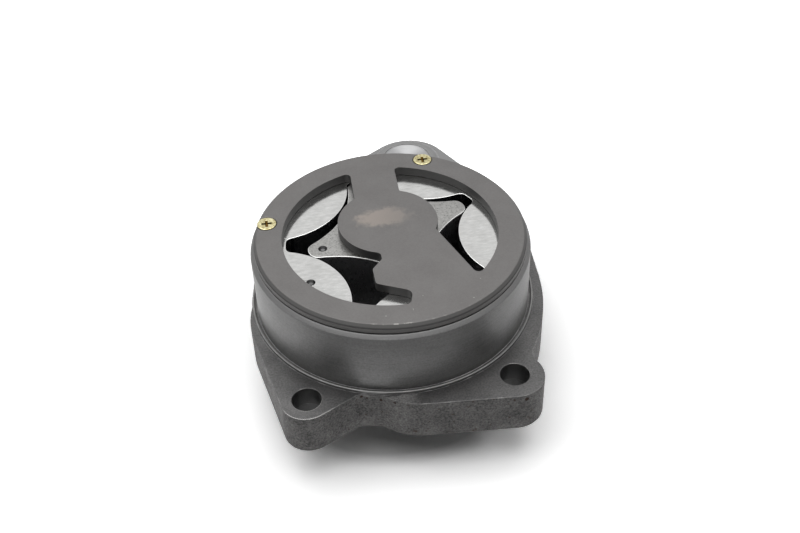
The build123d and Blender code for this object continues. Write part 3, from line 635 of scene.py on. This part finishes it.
# Painted shade on the windows' walls and the rim's chamfer, with a dark line at the chamfer's
# foot.
on_chamfer = span(tree, level, RIM_LEVEL, RIM_LEVEL + RIM_SOFT)
rim_colour = blend(tree, on_chamfer, RIM_SIDE, RIM_CHAMFER_SHADE)
from_corner = maths(tree, "ABSOLUTE", maths(tree, "SUBTRACT", level, RIM_LEVEL))
on_line = span(tree, from_corner, *RIM_LINE_FADE, 0.0, RIM_LINE_MOST)
rim_colour = blend(tree, on_line, rim_colour, RIM_LINE)
side_colour = blend(tree, span(tree, radius, *RIM_FADE), WINDOW_WALL_SHADE, rim_colour)
plate_colour = blend(tree, on_top, side_colour, plate_colour)
fleck = span(tree, grain(tree, place, *FLECK_GRAIN), *FLECK_FADE)
fleck = times(tree, fleck, span(tree, radius, *FLECK_INSIDE), span(tree, radius, *FLECK_OUTSIDE))
front = times(tree, span(tree, across, *FLECK_LEFT), span(tree, along, *FLECK_FRONT))
front = times(tree, front, span(tree, across, *FLECK_RIGHT, FLECK_LEAST, 1.0))
fleck = times(tree, fleck, front, FLECK_SHARE)
plate_colour = blend(tree, fleck, plate_colour, FLECK_BRIGHT)
paint(tree, shader, "Base Color", plate_colour)
paint(tree, shader, "Roughness", between(tree, patch, PLATE_ROUGH, PATCH_ROUGH))
relief(tree, shader, fine, FINE_DEPTH)
broken_edges(
    "cover_plate",
    "windowed_plate",
    "housing",
    phosphated_steel,
    PLATE_BREAK,
    rounded=ROUNDED,
)

# Cover screws: countersunk machine screws in steel, plated yellow, with a tapered cross recess.
# Each is turned from bar, punched, and sunk level with the plate.
SCREW_SPOTS = ((-0.03846, 0.01059), (0.01597, 0.03655))
HEAD_R, HEAD_RIM, HEAD_INSET, HEAD_CROWN = 0.00305, 0.0004, 0.0005, 0.00004
HEAD_TOP = PLATE_TOP - 0.00005
HEAD_FACETS, HEAD_BREAK = 48, 0.00006
SHANK_R, SHANK_END = 0.0015, PLATE_TOP - 0.011
FACING = 0.9
CROSS_L, CROSS_W, CROSS_DEPTH, CROSS_TAPER = 0.0042, 0.0011, 0.0012, 0.6
CROSS_FADE, CROSS_R = (HEAD_TOP - 0.00005, HEAD_TOP - 0.00025), (0.0025, 0.0024)
STAIN_GRAIN, ZINC_ROUGH = (0.0009, 4.0, 0.6), (0.22, 0.38)
ZINC_DARK, ZINC_LIGHT = (0.40, 0.34, 0.16), (0.72, 0.68, 0.43)
DARKER_SHARE, DARKER_ZINC = 0.35, (0.30, 0.26, 0.13)
CROSS_BROWN = (0.15, 0.088, 0.022)
zinc, tree, shader, place = metal("yellow_zinc")
stain = grain(tree, place, *STAIN_GRAIN)
zinc_colour = blend(tree, span(tree, stain, *FIRM), ZINC_DARK, ZINC_LIGHT)
in_heads = [
    span(tree, length_of(tree, mapped(tree, place, (*spot, 0), (1, 1, 0))), *CROSS_R)
    for spot in SCREW_SPOTS
]
in_cross = span(tree, axes_of(tree, place)["Z"], *CROSS_FADE)
in_cross = times(tree, in_cross, maths(tree, "MAXIMUM", *in_heads))
# The second screw's head is painted darker.
zinc_colour = blend(tree, times(tree, in_heads[1], DARKER_SHARE), zinc_colour, DARKER_ZINC)
zinc_colour = blend(tree, in_cross, zinc_colour, CROSS_BROWN)
paint(tree, shader, "Base Color", zinc_colour)
paint(tree, shader, "Roughness", span(tree, stain, *SOFT, *ZINC_ROUGH))


def edit_faces_facing(piece, up):
    """Edit mode, with only the piece's faces that look up (1) or down (-1) selected."""
    bpy.ops.object.mode_set(mode="EDIT")
    bpy.ops.mesh.select_mode(type="FACE")
    bpy.ops.mesh.select_all(action="DESELECT")
    bpy.ops.object.mode_set(mode="OBJECT")
    for face in piece.data.polygons:
        face.select = face.normal.z * up > FACING
    bpy.ops.object.mode_set(mode="EDIT")


bpy.ops.object.select_all(action="DESELECT")
bpy.ops.mesh.primitive_cylinder_add(vertices=HEAD_FACETS, radius=HEAD_R, depth=HEAD_RIM)
screw = bpy.context.object
screw.data.transform(Matrix.Translation((0, 0, HEAD_TOP - HEAD_RIM / 2)))
edit_faces_facing(screw, 1)
bpy.ops.mesh.inset(thickness=HEAD_INSET)
bpy.ops.transform.translate(value=(0, 0, HEAD_CROWN))
bpy.ops.object.mode_set(mode="OBJECT")
edit_faces_facing(screw, -1)
cone, cone_height = SHANK_R / HEAD_R, HEAD_R - SHANK_R
shank_length = HEAD_TOP - HEAD_RIM - cone_height - SHANK_END
bpy.ops.mesh.extrude_region_move(TRANSFORM_OT_translate={"value": (0, 0, -cone_height)})
bpy.ops.transform.resize(value=(cone, cone, 1))
bpy.ops.mesh.extrude_region_move(TRANSFORM_OT_translate={"value": (0, 0, -shank_length)})
bpy.ops.object.mode_set(mode="OBJECT")
for turn in (0, 90):
    bpy.ops.object.select_all(action="DESELECT")
    bpy.ops.mesh.primitive_cube_add(size=1)
    arm = bpy.context.object
    arm.data.transform(Matrix.Diagonal((CROSS_L, CROSS_W, 2 * CROSS_DEPTH, 1)))
    edit_faces_facing(arm, -1)
    bpy.ops.transform.resize(value=(CROSS_TAPER, CROSS_TAPER, 1))
    bpy.ops.object.mode_set(mode="OBJECT")
    turned = Matrix.Rotation(math.radians(turn), 4, "Z")
    arm.data.transform(Matrix.Translation((0, 0, HEAD_TOP)) @ turned)
    cut = screw.modifiers.new("cross", "BOOLEAN")
    cut.operation, cut.solver, cut.object = "DIFFERENCE", "EXACT", arm
    bpy.context.view_layer.objects.active = screw
    bpy.ops.object.modifier_apply(modifier=cut.name)
    bpy.data.objects.remove(arm)
softened = screw.modifiers.new("softened", "BEVEL")
softened.width, softened.segments = HEAD_BREAK, 2
softened.limit_method, softened.angle_limit = "ANGLE", math.radians(30)
softened.use_clamp_overlap = False
bpy.ops.object.modifier_apply(modifier=softened.name)
for number, (x, y) in enumerate(SCREW_SPOTS, 1):
    sunk = bpy.data.objects.new(f"cover_screw_{number}", screw.data.copy())
    bpy.context.scene.collection.objects.link(sunk)
    sunk.data.transform(Matrix.Translation((x, y, 0)))
    sunk.data.materials.append(zinc)
    bpy.ops.object.select_all(action="DESELECT")
    sunk.select_set(True)
    bpy.context.view_layer.objects.active = sunk
    flat_shading(sunk)
    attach(sunk, "housing")
    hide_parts("cover_screws")
bpy.data.objects.remove(screw)

# Drive thrust washer: a flat bronze ring between the body and the drive gear.
# It is punched from strip, and the gear's face runs against it.
broken_edges("drive_thrust_washer", "gear_thrust_washer", "housing", bronze)

# Drive key: a square-ended steel key, half in the shaft and half in the gear's bore.
# It is cut from ground bar, and left bright.
broken_edges("drive_key", "gear_key", "drive_line", ground_steel)

# Drive gear: a spur gear keyed to the shaft, with a thin web inside its rim.
# It is hobbed in steel, then hardened, and keeps a dark oiled finish.
OIL_GRAIN = (0.003, 4.0, 0.6)
OIL_DARK, OIL_LIGHT = (0.15, 0.15, 0.155), (0.28, 0.28, 0.28)
OIL_ROUGH, OIL_BUMPS, OIL_DEPTH = (0.34, 0.5), 0.0005, 0.00002
oiled_steel, tree, shader, place = metal("oiled_steel")
mottle = grain(tree, place, *OIL_GRAIN)
paint(tree, shader, "Base Color", blend(tree, mottle, OIL_DARK, OIL_LIGHT))
paint(tree, shader, "Roughness", span(tree, mottle, *SOFT, *OIL_ROUGH))
relief(tree, shader, grain(tree, place, OIL_BUMPS), OIL_DEPTH)
broken_edges("drive_gear", "driving_gear", "drive_line", oiled_steel)

# Drive retaining ring: an open ring of spring steel, sprung into the shaft's groove.
# It holds the drive gear on its key, and is black like the plug.
RING_BREAK = 0.00015
broken_edges(
    "drive_retaining_ring", "shaft_ring", "drive_line", black_steel, RING_BREAK
)

# Idler shaft: a plain steel pin pressed through the round boss, level with its top.
# Its end is faced off in the lathe, so the light fans out across it.
IDLER_CENTRE = (0.014137, 0.0649, 0)
FACED_DARK, FACED_LIGHT = (0.39, 0.39, 0.395), (0.465, 0.465, 0.47)
FACED_GRAIN, FACED_ROUGH, FACED_FAN, PIN_BREAK = 0.002, 0.41, 0.9, 0.0001
END_CHAMFER, END_LEVEL = (0.0055, 0.00632), 0.00636
faced_steel, tree, shader, place = metal("faced_steel")
faced_colour = blend(tree, grain(tree, place, FACED_GRAIN), FACED_DARK, FACED_LIGHT)
paint(tree, shader, "Base Color", faced_colour)
shader.inputs["Roughness"].default_value = FACED_ROUGH
shader.inputs["Anisotropic"].default_value = FACED_FAN
spoke = axes_of(tree, mapped(tree, place, IDLER_CENTRE))
sweep = {"X": spoke["X"], "Y": spoke["Y"]}
sweep = add_node(tree, "ShaderNodeCombineXYZ", sweep).outputs[0]
sweep = add_node(tree, "ShaderNodeVectorMath", {0: sweep}, operation="NORMALIZE").outputs[0]
paint(tree, shader, "Tangent", sweep)
pin = broken_edges(
    "idler_shaft", "idler_pin", "housing", faced_steel, PIN_BREAK
)
# The chamfer round the pin's upper end is filled, to just below its face.
for point in pin.data.vertices:
    if END_CHAMFER[0] < point.co.z < END_CHAMFER[1]:
        point.co.z = END_LEVEL

# Idler washers: flat bronze rings above and below the idler gear.
# They are punched from strip, and the gear runs between them.
for node in ("idler_thrust_washer", "idler_lower_washer"):
    broken_edges(node, node.replace("idler", "idler_gear"), "housing", bronze)

# Idler gear: a spur gear that turns on the idler shaft, hollowed for its lower washer.
# It is hobbed, hardened and oiled like the drive gear that it meshes with.
broken_edges("idler_gear", "idling_gear", "idler", oiled_steel)

# Idler bush: a bronze sleeve pressed into the idler gear's bore.
# It is turned from the same bronze as the shaft's bushes, and runs on the pin.
broken_edges("idler_bush", "idler_sleeve", "idler", bronze)

# Idler retaining ring: an open ring of spring steel, sprung into the idler shaft's groove.
# It holds the lower washer and the gear up on the pin, and is black like the plug.
broken_edges(
    "idler_retaining_ring", "idler_ring", "housing", black_steel, RING_BREAK
)
